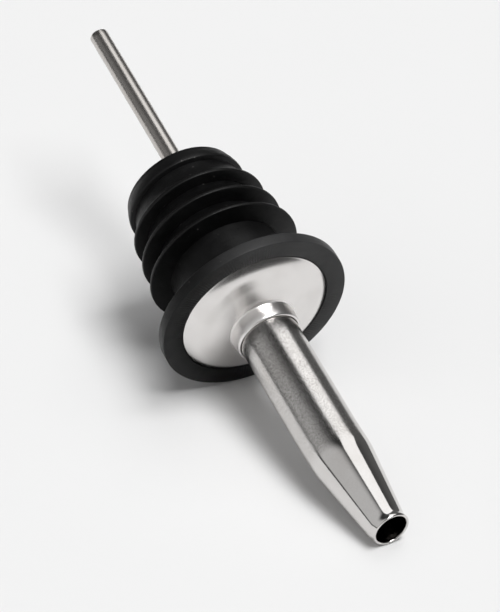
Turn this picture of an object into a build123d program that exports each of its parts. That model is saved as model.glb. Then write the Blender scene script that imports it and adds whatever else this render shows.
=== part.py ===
"""Free-flow liquor pour spout: a stainless spout tube and breather tube in a finned rubber stopper.

Millimetres. The origin is on the spout's axis in the plane of the stopper flange's underside, where the
flange rests on the bottle's lip. +Z runs up the spout towards its mouth, and the mouth leans towards -Y.
"""
import os

from build123d import *

# Spout tube
spout_radius = 4.75
spout_wall = 0.5
spout_bore_radius = spout_radius - spout_wall
lean_start = 27.0
taper_start = 32.0
taper_top = 46.2
taper_top_radius = 3.08
taper_top_wall = 0.45
taper_lean = 0.69
taper_tilt = 2.0
taper_ease = 0.14
leaning_sections = 13
mouth_height = 47.45
mouth_radius = 2.97
mouth_wall = 0.42
mouth_lean = 1.05
mouth_tilt = 6.4

# Stopper
flange_radius = 15.3
flange_thickness = 2.0
flange_edge = 0.45
stopper_end = -26.0
end_ring_radius = 9.3
end_ring_rim_radius = 9.85
end_ring_rim_height = -23.0
end_ring_rounding = 0.8
root_radius = 9.15
fin_count = 3
first_fin_radius = 11.15
last_fin_radius = 12.45
first_fin_height = -18.2
last_fin_height = -9.2
fin_edge = 0.5
fin_dish = 0.3
fin_sag = 0.22
seat_inner_radius = 12.9

# Tail of the spout tube, flared under the stopper
flare_radius = 5.7
flare_height = flare_radius - spout_radius
flare_lip = 0.35
tail_end = stopper_end - flare_lip

# Collar
collar_radius = 12.1
collar_wall = 0.45
collar_seat_depth = 0.85
collar_seat_clearance = 0.2
shoulder_height = 2.0
rim_rounding = 1.3
dome_crown = 0.15
neck_base = 4.8
neck_radius = spout_radius + collar_wall
neck_fillet = 0.3
neck_top = 7.25
neck_lip = 0.3
neck_mouth_gap = 0.18

# Breather tube
vent_radius = 1.55
vent_wall = 0.38
vent_bottom = -63.1
vent_top = 28.0
vent_edge = 0.12

# Braze joints
braze_film = 0.05
vent_braze_length = 5.0
vent_braze_lower_bottom = -24.0
vent_braze_upper_top = 26.0
vent_braze_reach = 1.6
collar_braze_reach = 0.6
collar_braze_depth = 0.9
collar_braze_slope = 0.4

# Modelling allowances
sheet_overrun = 2.0
radius_match = 0.001

vent_offset = spout_bore_radius - vent_radius - braze_film
collar_base = flange_thickness - collar_seat_depth


def eased(rise):
    """Share of a full change reached at a given share of its height: eased in, then straight."""
    slope = 1 / (1 - taper_ease / 2)
    if rise < taper_ease:
        return slope * rise * rise / (2 * taper_ease)
    return slope * (rise - taper_ease / 2)


def leaning_plane(height, lean, tilt):
    """Plane of a cross-section whose middle has moved over towards -Y."""
    return Plane(origin=(0, -lean, height)).rotated((tilt, 0, 0))


# Spout tube: straight body, leaning taper, mouth and flared tail, all hollowed by the same bore
spout_solids = []
for bottom, body_radius, top_radius, end_radius in (
    (stopper_end + flare_height, spout_radius, taper_top_radius, mouth_radius),
    (tail_end, spout_bore_radius, taper_top_radius - taper_top_wall, mouth_radius - mouth_wall),
):
    with BuildPart() as solid:
        with BuildSketch(Plane.XY.offset(bottom)):
            Circle(body_radius)
        extrude(amount=lean_start - bottom)
        for step in range(leaning_sections):
            rise = step / (leaning_sections - 1)
            height = lean_start + rise * (taper_top - lean_start)
            taper_rise = max(0, (height - taper_start) / (taper_top - taper_start))
            tilt = taper_tilt * min(1, rise / taper_ease)
            with BuildSketch(leaning_plane(height, taper_lean * eased(rise), tilt)):
                Circle(body_radius + (top_radius - body_radius) * eased(taper_rise))
        with BuildSketch(leaning_plane(mouth_height, mouth_lean, mouth_tilt)):
            Circle(end_radius)
        loft()
    spout_solids.append(solid.part)
spout_outside, spout_inside = spout_solids

with BuildPart() as spout_tube:
    add(spout_outside)
    with BuildSketch(Plane.XZ):
        with BuildLine():
            Polyline(
                (spout_bore_radius, stopper_end + flare_height),
                (spout_radius, stopper_end + flare_height),
                (flare_radius, stopper_end),
                (flare_radius, tail_end),
                (spout_bore_radius, tail_end),
                close=True,
            )
        make_face()
    revolve(axis=Axis.Z)
    add(spout_inside, mode=Mode.SUBTRACT)
spout_tube.part.label = "spout_tube"


def fin_rim(index):
    """Radius and height of a fin's outer edge, counted from the stopper's far end."""
    share = index / (fin_count - 1)
    radius = first_fin_radius + share * (last_fin_radius - first_fin_radius)
    height = first_fin_height + share * (last_fin_height - first_fin_height)
    return radius, height


# Stopper: flange, three umbrella fins and a rounded end ring, turned about the bore
with BuildPart() as stopper:
    with BuildSketch(Plane.XZ):
        with BuildLine():
            Polyline(
                (spout_radius, flange_thickness - collar_seat_depth),
                (spout_radius, stopper_end + flare_height),
                (flare_radius, stopper_end),
                (end_ring_radius - end_ring_rounding, stopper_end),
            )
            RadiusArc(
                (end_ring_radius - end_ring_rounding, stopper_end),
                (end_ring_radius, stopper_end + end_ring_rounding),
                -end_ring_rounding,
            )
            Polyline(
                (end_ring_radius, stopper_end + end_ring_rounding),
                (end_ring_rim_radius, end_ring_rim_height - fin_edge),
                (end_ring_rim_radius, end_ring_rim_height),
                (root_radius, end_ring_rim_height + fin_dish),
            )
            root_height = end_ring_rim_height + fin_dish
            for index in range(fin_count):
                fin_radius, fin_height = fin_rim(index)
                flare_line = Line(
                    (root_radius, root_height),
                    (fin_radius, fin_height - fin_edge),
                    mode=Mode.PRIVATE,
                )
                middle = flare_line @ 0.5 + Vector(-fin_sag, fin_sag)
                ThreePointArc(flare_line @ 0, middle, flare_line @ 1)
                root_height = fin_height + fin_dish
                Polyline(
                    (fin_radius, fin_height - fin_edge),
                    (fin_radius, fin_height),
                    (root_radius, root_height),
                )
            neck_sweep = seat_inner_radius - root_radius
            Line((root_radius, root_height), (root_radius, -neck_sweep))
            RadiusArc((root_radius, -neck_sweep), (seat_inner_radius, 0), neck_sweep)
            Polyline(
                (seat_inner_radius, 0),
                (flange_radius, 0),
                (flange_radius, flange_thickness),
                (collar_radius + collar_seat_clearance, flange_thickness),
                (collar_radius + collar_seat_clearance, flange_thickness - collar_seat_depth),
                (spout_radius, flange_thickness - collar_seat_depth),
            )
        make_face()
    revolve(axis=Axis.Z)
    flange_edges = [
        edge
        for edge in stopper.edges().filter_by(GeomType.CIRCLE)
        if abs(edge.radius - flange_radius) < radius_match
    ]
    fillet(flange_edges, flange_edge)
stopper.part.label = "stopper"

# Collar: a pressed sheet with a turned-down rim, a low dome and a drawn neck. The outline runs past the
# sheet's two ends, so that hollowing it by the sheet's thickness and trimming it leaves them square.
with BuildPart() as collar:
    with BuildSketch(Plane.XZ) as sheet:
        with BuildLine():
            Polyline(
                (neck_radius, neck_base),
                (neck_radius, neck_top + sheet_overrun),
                (0, neck_top + sheet_overrun),
                (0, collar_base - sheet_overrun),
                (collar_radius, collar_base - sheet_overrun),
                (collar_radius, shoulder_height),
            )
            SagittaArc((collar_radius, shoulder_height), (neck_radius, neck_base), -dome_crown)
        make_face()
        fillet(sheet.vertices().sort_by_distance((collar_radius, shoulder_height))[0], rim_rounding)
        fillet(sheet.vertices().sort_by_distance((neck_radius, neck_base))[0], neck_fillet)
        offset(amount=-collar_wall, mode=Mode.SUBTRACT)
        with Locations(((neck_radius - collar_wall + collar_radius) / 2, (collar_base + neck_top) / 2)):
            Rectangle(
                collar_radius - neck_radius + collar_wall,
                neck_top - collar_base,
                mode=Mode.INTERSECT,
            )
    revolve(axis=Axis.Z)
    top_edges = collar.edges().filter_by(GeomType.CIRCLE).group_by(Axis.Z)[-1].sort_by(SortBy.RADIUS)
    fillet(top_edges[-1], neck_lip)
    mouth_edges = collar.edges().filter_by(GeomType.CIRCLE).group_by(Axis.Z)[-1].sort_by(SortBy.RADIUS)
    chamfer(mouth_edges[0], neck_mouth_gap)
collar.part.label = "collar"

# Braze that fills the crevice between the tube and the dome's underside
with BuildPart() as collar_braze:
    with BuildSketch(Plane.XZ):
        with BuildLine():
            Polyline(
                (spout_radius, neck_base),
                (spout_radius, neck_base - collar_braze_depth),
                (spout_radius + collar_braze_reach, neck_base - collar_braze_slope),
                close=True,
            )
        make_face()
    revolve(axis=Axis.Z)
    add(collar.part, mode=Mode.SUBTRACT)
collar_braze.part.label = "collar_braze"

# Breather tube against the bore's wall
vent_plane = Plane(origin=(-vent_offset, 0, vent_bottom))
with BuildPart() as vent_tube:
    with BuildSketch(vent_plane):
        Circle(vent_radius)
        Circle(vent_radius - vent_wall, mode=Mode.SUBTRACT)
    extrude(amount=vent_top - vent_bottom)
    end_edges = vent_tube.edges().filter_by(GeomType.CIRCLE)
    fillet([edge for edge in end_edges if abs(edge.radius - vent_radius) < radius_match], vent_edge)
vent_tube.part.label = "vent_tube"

# Two braze joints in the crevice between the breather tube and the bore's wall
vent_brazes = []
for label, bottom in (
    ("vent_braze_lower", vent_braze_lower_bottom),
    ("vent_braze_upper", vent_braze_upper_top - vent_braze_length),
):
    with BuildPart() as vent_braze:
        with BuildSketch(Plane.XY.offset(bottom)):
            Circle(spout_bore_radius)
            with Locations((-spout_bore_radius, 0)):
                Rectangle(2 * vent_braze_reach, 2 * vent_braze_reach, mode=Mode.INTERSECT)
            with Locations((-vent_offset, 0)):
                Circle(vent_radius, mode=Mode.SUBTRACT)
        extrude(amount=vent_braze_length)
    vent_braze.part.label = label
    vent_brazes.append(vent_braze.part)

os.makedirs("parts", exist_ok=True)
for piece in [spout_tube.part, collar.part, stopper.part, vent_tube.part, collar_braze.part, *vent_brazes]:
    export_step(piece, f"parts/{piece.label}.step")
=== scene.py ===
"""Looks of a liquor pour spout on a pale floor: rubber stopper, steel collar, spout and breather tube."""

import math

import bmesh
import bpy
from mathutils import Matrix, Quaternion, Vector


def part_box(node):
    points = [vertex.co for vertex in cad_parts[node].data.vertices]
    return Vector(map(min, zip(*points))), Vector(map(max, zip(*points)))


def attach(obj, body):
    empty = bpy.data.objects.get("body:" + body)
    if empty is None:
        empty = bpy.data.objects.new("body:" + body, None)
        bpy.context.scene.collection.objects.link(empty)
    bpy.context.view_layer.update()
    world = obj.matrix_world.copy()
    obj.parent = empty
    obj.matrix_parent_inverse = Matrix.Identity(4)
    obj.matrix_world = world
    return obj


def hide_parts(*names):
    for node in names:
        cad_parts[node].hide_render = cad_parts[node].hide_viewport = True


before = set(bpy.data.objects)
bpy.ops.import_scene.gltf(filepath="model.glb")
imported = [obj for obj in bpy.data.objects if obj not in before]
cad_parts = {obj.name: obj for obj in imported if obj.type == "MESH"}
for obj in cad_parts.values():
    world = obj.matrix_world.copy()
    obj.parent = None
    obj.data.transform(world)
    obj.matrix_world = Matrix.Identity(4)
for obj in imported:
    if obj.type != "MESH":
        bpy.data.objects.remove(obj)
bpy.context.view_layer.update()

MM = 0.001

# ---------------------------------------------------------------- camera

CAMERA_AZIMUTH = math.radians(60.0)
CAMERA_ELEVATION = math.radians(34.7)
CAMERA_ROLL = math.radians(149.2)
CAMERA_DISTANCE = 521.2 * MM
CAMERA_AIM = Vector((0.727, -0.328, 0.854)) * MM
LENS = 200.6
SENSOR = 36.0

camera_back = Vector((
    math.sin(CAMERA_AZIMUTH) * math.cos(CAMERA_ELEVATION),
    -math.cos(CAMERA_AZIMUTH) * math.cos(CAMERA_ELEVATION),
    math.sin(CAMERA_ELEVATION),
))
camera_turn = (-camera_back).to_track_quat("-Z", "Y") @ Quaternion((0, 0, 1), CAMERA_ROLL)

camera_data = bpy.data.cameras.new("camera")
camera_data.lens = LENS
camera_data.sensor_width = SENSOR
camera_data.clip_start = 0.01
camera_data.clip_end = 50.0
camera = bpy.data.objects.new("camera", camera_data)
camera.rotation_mode = "QUATERNION"
camera.rotation_quaternion = camera_turn
camera.location = CAMERA_AIM + camera_back * CAMERA_DISTANCE
bpy.context.scene.collection.objects.link(camera)
bpy.context.scene.camera = camera
bpy.context.scene.view_settings.view_transform = "Standard"

# ---------------------------------------------------------------- studio axes

# The object lies on its flange and its mouth, and the floor is level across the view.
FLOOR_LOOK_DOWN = math.radians(33.3)

studio_right = camera_turn @ Vector((1, 0, 0))
studio_up = (
    camera_turn @ Vector((0, math.cos(FLOOR_LOOK_DOWN), math.sin(FLOOR_LOOK_DOWN)))
)
studio_away = studio_up.cross(studio_right)
studio = Matrix((studio_right, studio_away, studio_up)).transposed()

floor_height = min(
    vertex.co.dot(studio_up)
    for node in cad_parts.values()
    for vertex in node.data.vertices
)

# ---------------------------------------------------------------- node trees


class Socket:
    """A node's output. Arithmetic on it adds Math nodes to the same tree."""

    def __init__(self, tree, socket):
        self.tree = tree
        self.socket = socket

    def maths(self, operation, *values):
        return self.tree.node("ShaderNodeMath", {"operation": operation}, dict(enumerate(values)))

    def __add__(self, other):
        return self.maths("ADD", self, other)

    def __radd__(self, other):
        return self.maths("ADD", other, self)

    def __sub__(self, other):
        return self.maths("SUBTRACT", self, other)

    def __rsub__(self, other):
        return self.maths("SUBTRACT", other, self)

    def __mul__(self, other):
        return self.maths("MULTIPLY", self, other)

    def __rmul__(self, other):
        return self.maths("MULTIPLY", other, self)

    def __pow__(self, other):
        return self.maths("POWER", self, other)


class Tree:
    """A material's or the world's node tree, and the one way that its nodes are added."""

    def __init__(self, owner):
        owner.use_nodes = True
        self.owner = owner
        self.nodes = owner.node_tree.nodes
        self.links = owner.node_tree.links
        self.nodes.clear()

    def node(self, kind, settings=None, values=None, output=0):
        """Adds a node, with its settings first, then the values or links of its sockets."""
        node = self.nodes.new(kind)
        for name, setting in (settings or {}).items():
            setattr(node, name, setting)
        for name, value in (values or {}).items():
            if isinstance(value, Socket):
                self.links.new(value.socket, node.inputs[name])
            else:
                node.inputs[name].default_value = value
        return Socket(self, node.outputs[output])

    def between(self, value, low, high, low_out=0.0, high_out=1.0):
        """Maps value from low..high to low_out..high_out, smoothly and held at both ends."""
        return self.node(
            "ShaderNodeMapRange",
            {"interpolation_type": "SMOOTHSTEP"},
            {"Value": value, "From Min": low, "From Max": high, "To Min": low_out, "To Max": high_out},
        )

    def noise(self, place, scale, detail=3.0, roughness=0.5, stretch=(1, 1, 1)):
        """Noise with features of about 1/scale metres, drawn out along the axes under 1 in stretch."""
        mapped = self.node("ShaderNodeMapping", None, {"Vector": place, "Scale": stretch})
        return self.node(
            "ShaderNodeTexNoise",
            {"noise_dimensions": "3D"},
            {"Vector": mapped, "Scale": scale, "Detail": detail, "Roughness": roughness},
        )

    def mix_colour(self, share, first, second):
        """The first colour where share is 0, the second where it is 1."""
        return self.node(
            "ShaderNodeMix",
            {"data_type": "RGBA"},
            {0: share, 6: (*first, 1) if isinstance(first, tuple) else first, 7: (*second, 1)},
            output=2,
        )

    def bump(self, height, distance):
        """Normal of a surface raised by height, a share of the given distance."""
        return self.node(
            "ShaderNodeBump", None, {"Height": height, "Distance": distance, "Strength": 1.0}
        )

    def close(self, shader, kind="ShaderNodeOutputMaterial"):
        """Links the finished shader to the tree's output."""
        output = self.nodes.new(kind)
        self.links.new(shader.socket, output.inputs["Surface"])
        return self.owner


def object_place(tree):
    """The object's own coordinates as a vector, and x, y and z apart."""
    place = tree.node("ShaderNodeTexCoord", output="Object")
    parts = [tree.node("ShaderNodeSeparateXYZ", None, {0: place}, output=axis) for axis in "XYZ"]
    return place, parts


# ---------------------------------------------------------------- finishes


GROUND_TO = 30.5 * MM
POLISHED_FROM = 33.0 * MM


def spout_finish():
    """Drawn tube, finely ground on its straight body and polished on the spun taper."""
    tree = Tree(bpy.data.materials.new("spout_steel"))
    place, (_, _, z) = object_place(tree)
    polish = tree.between(z, GROUND_TO, POLISHED_FROM)
    ground = 1 - polish * 0.85
    grain = tree.noise(place, 4200, detail=4, roughness=0.7, stretch=(1, 1, 0.55))
    pits = tree.between(tree.noise(place, 5200, detail=3, roughness=0.7), 0.42, 0.66)
    streaks = tree.noise(place, 900, detail=3, stretch=(1, 1, 0.05))
    stain = tree.noise(place, 160, detail=2)
    height = (grain * 0.7 + streaks * 0.3) * ground
    clean = tree.mix_colour(
        tree.between(stain, 0.4, 0.75) * 0.5, (0.68, 0.665, 0.65), (0.59, 0.565, 0.54)
    )
    shader = tree.node("ShaderNodeBsdfPrincipled", None, {
        "Base Color": tree.mix_colour(pits * ground * 0.7, clean, (0.34, 0.315, 0.3)),
        "Metallic": 1.0,
        "Roughness": 0.19 - polish * 0.1 + (grain - 0.5) * 0.3 * ground,
        "Normal": tree.bump(height, 0.018 * MM),
    })
    return tree.close(shader)


NECK_OUTSIDE = 5.8 * MM
NECK_INSIDE = 5.4 * MM


def collar_finish():
    """Pressed and turned sheet: satin, with fine rings round the spout."""
    tree = Tree(bpy.data.materials.new("collar_steel"))
    place, (x, y, z) = object_place(tree)
    radius = (x * x + y * y) ** 0.5
    round_place = tree.node("ShaderNodeCombineXYZ", None, {0: radius, 1: z, 2: 0.0})
    rings = tree.noise(round_place, 9000, detail=3, roughness=0.6)
    broad = tree.noise(round_place, 900, detail=2)
    grain = tree.noise(place, 5000, detail=3)
    cloud = tree.noise(place, 220, detail=3)
    neck = tree.between(radius, NECK_OUTSIDE, NECK_INSIDE)
    colour = tree.mix_colour(
        tree.between(cloud, 0.4, 0.8) * 0.6, (0.78, 0.76, 0.745), (0.68, 0.66, 0.645)
    )
    shader = tree.node("ShaderNodeBsdfPrincipled", None, {
        "Base Color": colour,
        "Metallic": 1.0,
        "Roughness": 0.22 + (cloud - 0.5) * 0.12 + neck * 0.1,
        "Normal": tree.bump(rings * 0.5 + broad * 0.8 + grain * 0.3, 0.005 * MM),
    })
    return tree.close(shader)


def vent_finish():
    """Drawn small-bore tube, left satin and a little darker than the spout."""
    tree = Tree(bpy.data.materials.new("vent_steel"))
    place, _ = object_place(tree)
    grain = tree.noise(place, 5200, detail=4, roughness=0.6, stretch=(1, 1, 0.25))
    stain = tree.noise(place, 300, detail=2, stretch=(1, 1, 0.4))
    colour = tree.mix_colour(
        tree.between(stain, 0.35, 0.75) * 0.6, (0.56, 0.535, 0.51), (0.46, 0.43, 0.4)
    )
    shader = tree.node("ShaderNodeBsdfPrincipled", None, {
        "Base Color": colour,
        "Metallic": 1.0,
        "Roughness": 0.27 + (grain - 0.5) * 0.16,
        "Normal": tree.bump(grain, 0.005 * MM),
    })
    return tree.close(shader)


def braze_finish():
    """Silver braze, matt and uneven where it froze."""
    tree = Tree(bpy.data.materials.new("braze"))
    place, _ = object_place(tree)
    lumps = tree.noise(place, 1500, detail=3)
    colour = tree.mix_colour(lumps, (0.58, 0.55, 0.48), (0.42, 0.38, 0.31))
    shader = tree.node("ShaderNodeBsdfPrincipled", None, {
        "Base Color": colour,
        "Metallic": 1.0,
        "Roughness": 0.35 + lumps * 0.2,
        "Normal": tree.bump(lumps, 0.03 * MM),
    })
    return tree.close(shader)


# Painted sheen: the flange's face is painted lighter grey across the spout's axis, from a start on one
# side to full grey on the other, standing in for the lit floor's reflection on that side.
SHEEN_TOWARD = (-0.5, -0.87)
SHEEN_START = -7 * MM
SHEEN_FULL = 6 * MM
BELOW_FLANGE = -0.3 * MM
ON_FLANGE = 0.2 * MM


def rubber_finish():
    """Moulded black rubber with a fine matt skin, handling dust and painted sheen: the flange's face
    painted grey on one side.
    """
    tree = Tree(bpy.data.materials.new("rubber"))
    place, (x, y, z) = object_place(tree)
    skin = tree.noise(place, 4200, detail=4, roughness=0.65)
    mottle = tree.noise(place, 420, detail=4, roughness=0.6)
    bloom = tree.noise(place, 130, detail=3)
    specks = tree.node("ShaderNodeTexVoronoi", {"feature": "F1"}, {"Vector": place, "Scale": 620.0})
    dust = tree.between(specks, 0.10, 0.05) * tree.between(mottle, 0.5, 0.58)
    wear = tree.between(bloom, 0.45, 0.75) * 0.6 + tree.between(mottle, 0.5, 0.75) * 0.4
    worn = tree.mix_colour(wear, (0.0025, 0.0025, 0.0026), (0.008, 0.008, 0.0083))
    # Painted sheen: a grey painted on the flange's face toward one side, standing in for reflected light,
    # varied with the random wear tone.
    side = x * SHEEN_TOWARD[0] + y * SHEEN_TOWARD[1]
    painted_sheen = tree.between(side, SHEEN_START, SHEEN_FULL) * tree.between(z, BELOW_FLANGE, ON_FLANGE)
    sheened_colour = tree.mix_colour(painted_sheen * (0.75 + wear * 0.5), worn, (0.035, 0.035, 0.0355))
    scuffs = tree.noise(place, 700, detail=4, stretch=(1, 1, 3.0))
    shader = tree.node("ShaderNodeBsdfPrincipled", None, {
        "Base Color": tree.mix_colour(dust * 0.6, sheened_colour, (0.13, 0.125, 0.12)),
        "Roughness": 0.44 + (mottle - 0.5) * 0.3 + (scuffs - 0.5) * 0.25 + dust * 0.2,
        "Specular IOR Level": 0.2,
        "Normal": tree.bump(skin * 0.6 + mottle * 1.2 + scuffs * 0.6, 0.03 * MM),
    })
    return tree.close(shader)


# ---------------------------------------------------------------- modelling with mesh tools

SEGMENTS = 192
MERGE_DISTANCE = 0.002 * MM
LEVEL_SLACK = 0.001 * MM
RING_SLACK = 0.01
SMOOTH_ANGLE = math.radians(35)


def ring(radius, height, x=0.0, y=0.0, tilt=0.0):
    """One ring of a turned piece: its radius, its middle and its tilt about X, in mm and degrees."""
    return radius * MM, Vector((x, y, height)) * MM, math.radians(tilt)


def turned(name, rings, segments=SEGMENTS):
    """Extrudes a circle from ring to ring and closes the skin where the last meets the first."""
    bpy.ops.object.select_all(action="DESELECT")
    radius, middle, tilt = rings[0]
    bpy.ops.mesh.primitive_circle_add(vertices=segments, radius=radius, location=middle)
    piece = bpy.context.object
    piece.name = name
    piece.data.name = name
    bpy.ops.object.transform_apply(location=True, rotation=True, scale=True)
    bpy.ops.object.mode_set(mode="EDIT")
    bpy.ops.mesh.select_mode(type="EDGE")
    bpy.ops.mesh.select_all(action="SELECT")
    for next_radius, next_middle, next_tilt in rings[1:]:
        bpy.ops.mesh.extrude_region_move(TRANSFORM_OT_translate={"value": next_middle - middle})
        growth = next_radius / radius
        if growth != 1:
            bpy.ops.transform.resize(value=(growth, growth, growth), center_override=next_middle)
        if next_tilt != tilt:
            bpy.ops.transform.rotate(
                value=tilt - next_tilt, orient_axis="X", center_override=next_middle
            )
        radius, middle, tilt = next_radius, next_middle, next_tilt
    bpy.ops.mesh.select_all(action="SELECT")
    bpy.ops.mesh.remove_doubles(threshold=MERGE_DISTANCE)
    bpy.ops.mesh.normals_make_consistent(inside=False)
    bpy.ops.object.mode_set(mode="OBJECT")
    return piece


def round_rings(piece, rings, width, segments=3):
    """Rounds the edges at the given (radius, height) rings, in mm."""
    bpy.ops.object.mode_set(mode="EDIT")
    bpy.ops.mesh.select_all(action="DESELECT")
    mesh = bmesh.from_edit_mesh(piece.data)
    for edge in mesh.edges:
        first, second = edge.verts
        level = abs(first.co.z - second.co.z) < LEVEL_SLACK
        out = math.hypot(first.co.x, first.co.y) / MM
        height = first.co.z / MM
        if level and any(max(abs(out - r), abs(height - h)) < RING_SLACK for r, h in rings):
            edge.select_set(True)
    bmesh.update_edit_mesh(piece.data)
    bpy.ops.mesh.bevel(offset=width * MM, segments=segments, affect="EDGES", clamp_overlap=True)
    bpy.ops.object.mode_set(mode="OBJECT")


def bowed(start, middle, end, count):
    """(radius, height) points after start, up to end, on the curve that passes through middle."""
    points = []
    for step in range(1, count + 1):
        t = step / count
        weights = ((1 - t) * (1 - 2 * t), 4 * t * (1 - t), t * (2 * t - 1))
        points.append(tuple(
            weights[0] * a + weights[1] * b + weights[2] * c for a, b, c in zip(start, middle, end)
        ))
    return points


def finished(piece, material, slot, *nodes):
    """Shades a piece, gives it its finish and puts it in the place of its CAD nodes."""
    bpy.ops.object.select_all(action="DESELECT")
    piece.select_set(True)
    bpy.context.view_layer.objects.active = piece
    bpy.ops.object.shade_smooth_by_angle(angle=SMOOTH_ANGLE)
    piece.data.materials.clear()
    piece.data.materials.append(material)
    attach(piece, "root")
    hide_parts(*nodes)


# ---------------------------------------------------------------- rubber stopper

STOPPER_END = -26.0
TUBE_RADIUS = 4.75
FLARE_RADIUS = 5.7
FLARE_START = STOPPER_END + FLARE_RADIUS - TUBE_RADIUS
FLANGE_RADIUS = 15.3
FLANGE_THICKNESS = 2.0
FLANGE_ROUNDING = 0.45
FIN_RIMS = ((11.15, -18.2), (11.8, -13.7), (12.45, -9.2))
FIN_ROUNDING = 0.16
FIN_EDGE = 0.5
FIN_DISH = 0.3
FIN_SAG = 0.22
ROOT_RADIUS = 9.15
END_RING = (9.85, -23.0)
END_ROUND_START = (8.5, STOPPER_END)
END_ROUND_END = (9.3, -25.2)
NECK_SWEEP = 3.75
NECK_STEPS = 12
SEAT_RADIUS = 12.22
SEAT_HEIGHT = 1.65
SEAT_ROUNDING = 0.2

outline = [
    (TUBE_RADIUS, SEAT_HEIGHT),
    (TUBE_RADIUS, FLARE_START),
    (FLARE_RADIUS, STOPPER_END),
    END_ROUND_START,
    *bowed(END_ROUND_START, (9.07, -25.77), END_ROUND_END, 6),
    *bowed(END_ROUND_END, (9.62, -24.4), (END_RING[0], END_RING[1] - FIN_EDGE), 4),
    END_RING,
    (ROOT_RADIUS, END_RING[1] + FIN_DISH),
]
for rim_radius, rim_height in FIN_RIMS:
    root = outline[-1]
    lip = (rim_radius, rim_height - FIN_EDGE)
    halfway = ((root[0] + lip[0]) / 2 - FIN_SAG, (root[1] + lip[1]) / 2 + FIN_SAG)
    outline += bowed(root, halfway, lip, 10)
    outline += [(rim_radius, rim_height), (ROOT_RADIUS, rim_height + FIN_DISH)]
for step in range(NECK_STEPS + 1):
    turn = math.pi / 2 * step / NECK_STEPS
    outline.append((
        ROOT_RADIUS + NECK_SWEEP * (1 - math.cos(turn)),
        -NECK_SWEEP + NECK_SWEEP * math.sin(turn),
    ))
outline += [
    (FLANGE_RADIUS, 0.0),
    (FLANGE_RADIUS, FLANGE_THICKNESS),
    (SEAT_RADIUS, FLANGE_THICKNESS),
    (SEAT_RADIUS, SEAT_HEIGHT),
    (TUBE_RADIUS, SEAT_HEIGHT),
]
stopper = turned("stopper_rubber", [ring(*point) for point in outline])
flange_edges = [(FLANGE_RADIUS, 0.0), (FLANGE_RADIUS, FLANGE_THICKNESS)]
round_rings(stopper, flange_edges, FLANGE_ROUNDING, segments=5)
fin_corners = [(r, h - back) for r, h in (*FIN_RIMS, END_RING) for back in (0, FIN_EDGE)]
round_rings(stopper, fin_corners, FIN_ROUNDING, segments=3)
round_rings(stopper, [(SEAT_RADIUS, FLANGE_THICKNESS)], SEAT_ROUNDING, segments=3)
finished(stopper, rubber_finish(), "rubber", "stopper")

# ---------------------------------------------------------------- steel collar

COLLAR_RIM = (12.05, SEAT_HEIGHT)


def swept(start, *legs):
    """(radius, height) points from start along curved legs: each leg's middle, end and count."""
    points = [start]
    for middle, end, count in legs:
        points += bowed(points[-1], middle, end, count)
    return points


# The sheet's outside, from its rim over the dome and up the neck to the lip.
outer = swept(
    COLLAR_RIM,
    ((12.02, 1.83), (11.92, 1.94), 5),
    ((10.95, 2.76), (9.8, 3.3), 14),
    ((9.15, 3.51), (8.5, 3.72), 8),
    ((7.1, 4.2), (5.45, 4.71), 10),
    ((5.33, 4.77), (5.27, 4.9), 5),
    ((5.27, 5.95), (5.19, 6.85), 10),
    ((5.11, 7.13), (4.9, 7.25), 5),
)
# Its inside, down the neck, which closes on the tube, and back under the dome.
inner = [(4.84, 7.2), (4.78, 7.05), (TUBE_RADIUS, 6.9)]
inner += swept(
    (TUBE_RADIUS, 4.98),
    ((4.88, 4.55), (5.22, 4.28), 6),
    ((7.6, 3.52), (9.6, 2.85), 12),
    ((10.65, 2.36), (11.55, SEAT_HEIGHT), 8),
)
collar = turned("collar_disc", [ring(*point) for point in (*outer, *inner, COLLAR_RIM)])
finished(collar, collar_finish(), "collar_steel", "collar")

# ---------------------------------------------------------------- spout tube

SPOUT_WALL = 0.5
BORE_RADIUS = TUBE_RADIUS - SPOUT_WALL
FLARE_LIP = 0.35
TAIL_END = STOPPER_END - FLARE_LIP
LEAN_START = 27.0
TAPER_START = 32.0
TAPER_TOP = 46.2
TAPER_TOP_RADIUS = 3.08
TAPER_LEAN = 0.69
TAPER_TILT = 2.0
TAPER_EASE = 0.14
MOUTH_HEIGHT = 47.45
MOUTH_RADIUS = 2.97
MOUTH_WALL = 0.42
MOUTH_LEAN = 1.05
MOUTH_TILT = 6.4
LIP_RADIUS = MOUTH_WALL / 2
LIP_STEPS = 8
LIP_START = MOUTH_HEIGHT - LIP_RADIUS
RING_STEP = 0.5
RING_COUNT = 39


def eased(rise):
    """Share of a full change reached at a given share of its height: eased in, then straight."""
    slope = 1 / (1 - TAPER_EASE / 2)
    if rise < TAPER_EASE:
        return slope * rise * rise / (2 * TAPER_EASE)
    return slope * (rise - TAPER_EASE / 2)


def spout_ring(height, wall):
    """A ring of the spout, wall inside its outer skin."""
    rise = min(max((height - LEAN_START) / (TAPER_TOP - LEAN_START), 0), 1)
    taper_rise = min(max((height - TAPER_START) / (TAPER_TOP - TAPER_START), 0), 1)
    kick = min(max((height - TAPER_TOP) / (LIP_START - TAPER_TOP), 0), 1)
    kick = kick * kick * (3 - 2 * kick)
    radius = TUBE_RADIUS + (TAPER_TOP_RADIUS - TUBE_RADIUS) * eased(taper_rise)
    radius += (MOUTH_RADIUS - TAPER_TOP_RADIUS) * kick
    lean = TAPER_LEAN * eased(rise) + (MOUTH_LEAN - TAPER_LEAN) * kick
    tilt = TAPER_TILT * min(1, rise / TAPER_EASE) + (MOUTH_TILT - TAPER_TILT) * kick
    return ring(radius - wall, height, y=-lean, tilt=tilt)


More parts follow.
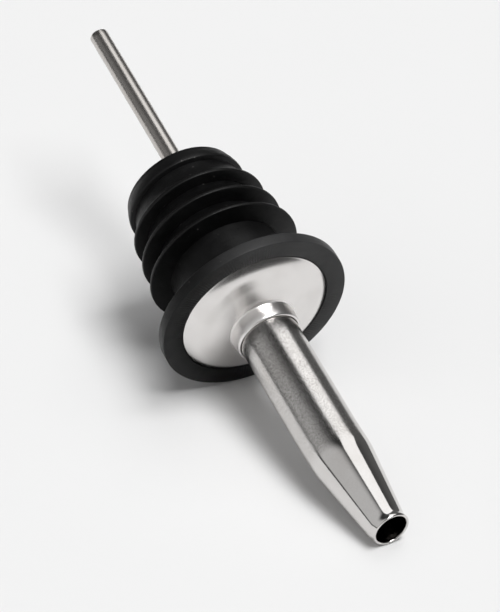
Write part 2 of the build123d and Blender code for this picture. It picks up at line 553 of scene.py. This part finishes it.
def mouth_lip():
    """Rings that round the mouth's rim over from the outer skin to the inner one."""
    rings = []
    tilt = math.radians(MOUTH_TILT)
    for step in range(1, LIP_STEPS):
        turn = math.pi * step / LIP_STEPS
        out = MOUTH_RADIUS - LIP_RADIUS + LIP_RADIUS * math.cos(turn)
        rise = LIP_RADIUS * math.sin(turn)
        rings.append(ring(
            out,
            LIP_START + rise * math.cos(tilt),
            y=-MOUTH_LEAN - rise * math.sin(tilt),
            tilt=MOUTH_TILT,
        ))
    return rings


upper_heights = [LEAN_START + step * RING_STEP for step in range(RING_COUNT)]
upper_heights += [46.4, 46.6, 46.8, 47.0, LIP_START]
spout_rings = [ring(BORE_RADIUS, TAIL_END)]
spout_rings += [ring(FLARE_RADIUS, height) for height in (TAIL_END, STOPPER_END)]
spout_rings += [
    ring(TUBE_RADIUS, height) for height in (FLARE_START, FLARE_START + 1.0, 5.0, 12.0, 19.0)
]
spout_rings += [spout_ring(height, 0) for height in upper_heights]
spout_rings += mouth_lip()
for height in reversed(upper_heights):
    thinning = (height - LEAN_START) / (LIP_START - LEAN_START)
    spout_rings.append(spout_ring(height, SPOUT_WALL + (MOUTH_WALL - SPOUT_WALL) * thinning))
spout_rings += [ring(BORE_RADIUS, height) for height in (10.0, -10.0, TAIL_END)]
spout = turned("spout_steel_tube", spout_rings)
finished(spout, spout_finish(), "spout_steel", "spout_tube")

# ---------------------------------------------------------------- breather tube

vent_low, vent_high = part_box("vent_tube")
VENT_X = (vent_low.x + vent_high.x) / 2 / MM
VENT_SEGMENTS = 96
VENT_BOTTOM = vent_low.z / MM
VENT_TOP = vent_high.z / MM
VENT_RADIUS = 1.55
VENT_WALL = 0.38
VENT_BORE = VENT_RADIUS - VENT_WALL
VENT_EDGE = 0.14
VENT_EDGE_BOW = 0.29 * VENT_EDGE
BORE_EDGE = 0.04
VENT_MIDDLE = -30.0

vent_outline = [
    (VENT_BORE, VENT_BOTTOM + BORE_EDGE),
    (VENT_BORE + BORE_EDGE, VENT_BOTTOM),
    (VENT_RADIUS - VENT_EDGE, VENT_BOTTOM),
    *bowed(
        (VENT_RADIUS - VENT_EDGE, VENT_BOTTOM),
        (VENT_RADIUS - VENT_EDGE_BOW, VENT_BOTTOM + VENT_EDGE_BOW),
        (VENT_RADIUS, VENT_BOTTOM + VENT_EDGE),
        4,
    ),
    (VENT_RADIUS, VENT_BOTTOM + 1.0),
    (VENT_RADIUS, VENT_MIDDLE),
    (VENT_RADIUS, VENT_TOP - VENT_EDGE),
    (VENT_RADIUS - VENT_EDGE, VENT_TOP),
    (VENT_BORE, VENT_TOP),
    (VENT_BORE, VENT_MIDDLE),
    (VENT_BORE, VENT_BOTTOM + BORE_EDGE),
]
vent_rings = [ring(r, h, x=VENT_X) for r, h in vent_outline]
vent = turned("breather_tube", vent_rings, segments=VENT_SEGMENTS)
finished(vent, vent_finish(), "vent_steel", "vent_tube")

# ---------------------------------------------------------------- brazed joints

braze = braze_finish()
for name in ("collar_braze", "vent_braze_lower", "vent_braze_upper"):
    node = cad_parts[name]
    node.data.materials.clear()
    node.data.materials.append(braze)

# ---------------------------------------------------------------- floor

FLOOR_SIZE = 1.6
FLOOR_CLEAR = 0.55
FLOOR_FADE = 0.25
PALE = 0.885
FLOOR_ALBEDO = 0.8
FLOOR_MOTTLE = 0.004

bpy.ops.object.select_all(action="DESELECT")
bpy.ops.mesh.primitive_plane_add(size=FLOOR_SIZE)
floor = bpy.context.object
floor.name = "floor"
floor.data.transform(studio.to_4x4())
floor.data.transform(Matrix.Translation(studio_up * floor_height))

tree = Tree(bpy.data.materials.new("pale_floor"))
place, _ = object_place(tree)
floor_middle = studio_up * floor_height
outwards = tree.node(
    "ShaderNodeVectorMath", {"operation": "DISTANCE"}, {0: place, 1: floor_middle}, output="Value"
)
backfacing = tree.node("ShaderNodeNewGeometry", output="Backfacing")
open_share = tree.between(outwards, FLOOR_CLEAR, FLOOR_CLEAR + FLOOR_FADE)
open_share = open_share.maths("MAXIMUM", open_share, backfacing)
weave = tree.noise(place, 30, detail=3)
darker, paler = ((FLOOR_ALBEDO + change,) * 3 for change in (-FLOOR_MOTTLE, FLOOR_MOTTLE))
paint = tree.node("ShaderNodeBsdfDiffuse", None, {"Color": tree.mix_colour(weave, darker, paler)})
clear = tree.node("ShaderNodeBsdfTransparent")
floor.data.materials.append(
    tree.close(tree.node("ShaderNodeMixShader", None, {0: open_share, 1: paint, 2: clear}))
)

# ---------------------------------------------------------------- light


SOFTBOX_DISTANCE = 10.0


def softbox(name, toward, long_axis, width, length, radiance):
    """A rectangular softbox in studio axes (right, away, up), facing the object."""
    out = (studio @ Vector(toward)).normalized()
    along = studio @ Vector(long_axis)
    along = (along - along.project(out)).normalized()
    across = along.cross(out)
    data = bpy.data.lights.new(name, "AREA")
    data.shape = "RECTANGLE"
    data.size = width
    data.size_y = length
    data.energy = radiance * math.pi * width * length
    light = bpy.data.objects.new(name, data)
    turn = Matrix((across, along, out)).transposed().to_4x4()
    light.matrix_world = Matrix.Translation(out * SOFTBOX_DISTANCE) @ turn
    light.visible_camera = False
    bpy.context.scene.collection.objects.link(light)


softbox(
    "key_softbox", (0.29, -0.27, 0.92), (0.0, 1.0, 0.26), width=4.0, length=6.2, radiance=11.6
)
softbox(
    "back_softbox", (0.2, 0.345, 0.917), (0.0, 1.0, -0.38), width=6.4, length=8.2, radiance=1.3
)

ROOM_LEVEL = 0.042
FILL_LEVEL = 0.58
BACK_WALL_LEVEL = 0.08

tree = Tree(bpy.data.worlds.new("studio"))
direction = tree.node("ShaderNodeTexCoord", output="Generated")


def along_axis(axis):
    """How far the direction looked in points along an axis, from -1 to 1."""
    return tree.node(
        "ShaderNodeVectorMath", {"operation": "DOT_PRODUCT"}, {0: direction, 1: axis}, output="Value"
    )


upward = along_axis(studio_up)
sideways = along_axis(studio_right)
outward = along_axis(studio_away)
fill = tree.between(outward + sideways * 0.2, 0.08, -0.24) * tree.between(sideways, 0.1, -0.3)
fill = fill * tree.between(upward, 0.05, 0.14)
back_wall = tree.between(outward, 0.3, 0.8)
room_level = ROOM_LEVEL + fill * FILL_LEVEL + back_wall * BACK_WALL_LEVEL
below = tree.between(upward, 0.005, -0.01)
level = room_level * (1 - below) + below * PALE
seen = tree.node("ShaderNodeLightPath", output="Is Camera Ray")
room = tree.node("ShaderNodeBackground", None, {
    "Color": tree.node("ShaderNodeCombineColor", None, {0: level, 1: level, 2: level}),
})
backdrop = tree.node("ShaderNodeBackground", None, {"Color": (PALE, PALE, PALE, 1)})
bpy.context.scene.world = tree.close(
    tree.node("ShaderNodeMixShader", None, {0: seen, 1: room, 2: backdrop}), "ShaderNodeOutputWorld"
)
